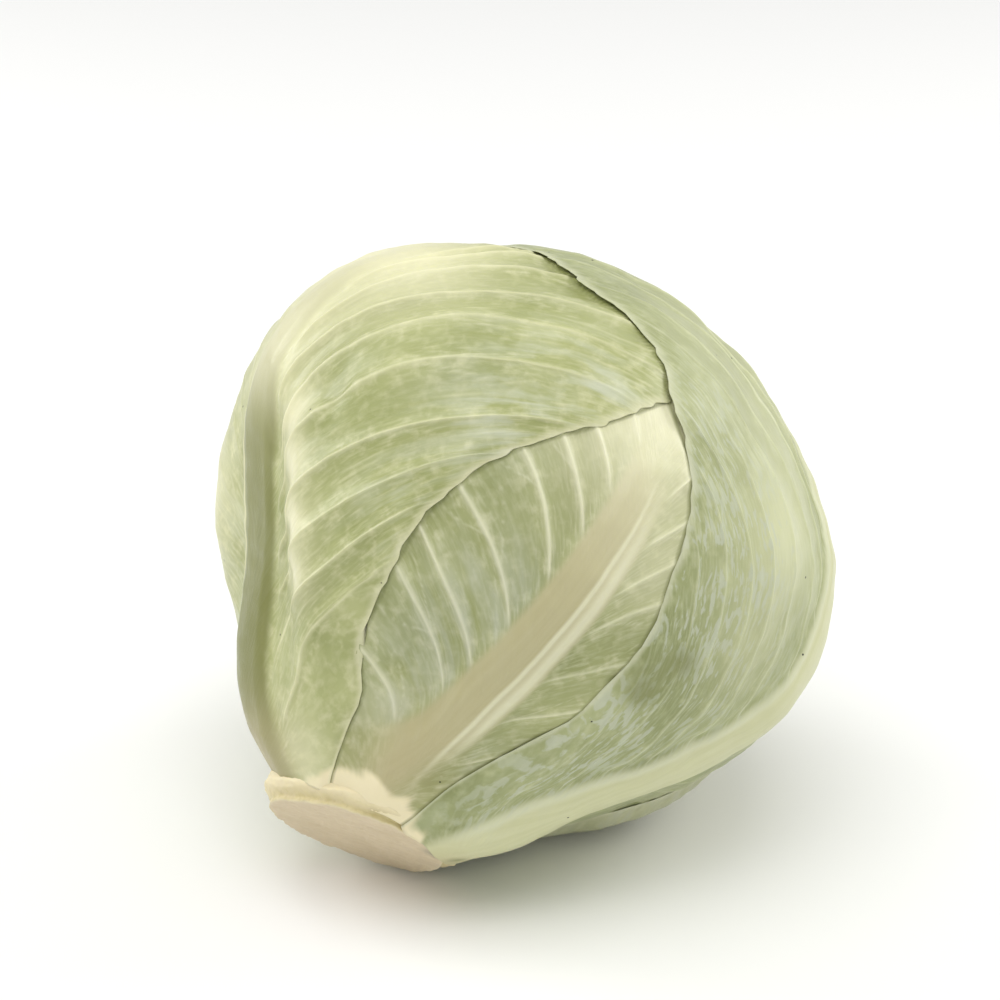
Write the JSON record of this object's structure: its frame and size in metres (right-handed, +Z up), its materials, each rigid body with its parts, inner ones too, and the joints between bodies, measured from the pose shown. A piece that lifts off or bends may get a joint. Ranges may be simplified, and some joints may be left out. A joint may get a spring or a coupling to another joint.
{
  "type": "cabbage head",
  "caption": "White cabbage head with a cut stub and overlapping wrapper leaves, lying on its side on a small flat spot.",
  "frame": {"origin": "on the surface the head lies on, under the middle of its outline from above", "axes": "+Z up from the surface; the head is seen in the picture along +Y, with its stub at the front left, low"},
  "size_m": [0.1828, 0.1812, 0.1759],
  "materials": {
    "stem": "freshly cut pith, matt, cream to pale tan",
    "heart": "packed inner leaves, smooth, pale yellow-green",
    "leaf_front": "waxy leaf, soft sheen, green with cream veins",
    "leaf_left": "waxy leaf, soft sheen, pale green with cream veins",
    "leaf_right": "waxy leaf with grey-white bloom, soft sheen",
    "leaf_rear": "waxy leaf with grey-white bloom, soft sheen"
  },
  "bodies": {
    "root": {"stem": "stem", "heart": "heart", "leaf_front": "leaf_front", "leaf_left": "leaf_left", "leaf_right": "leaf_right", "leaf_rear": "leaf_rear"}
  },
  "joints": []
}
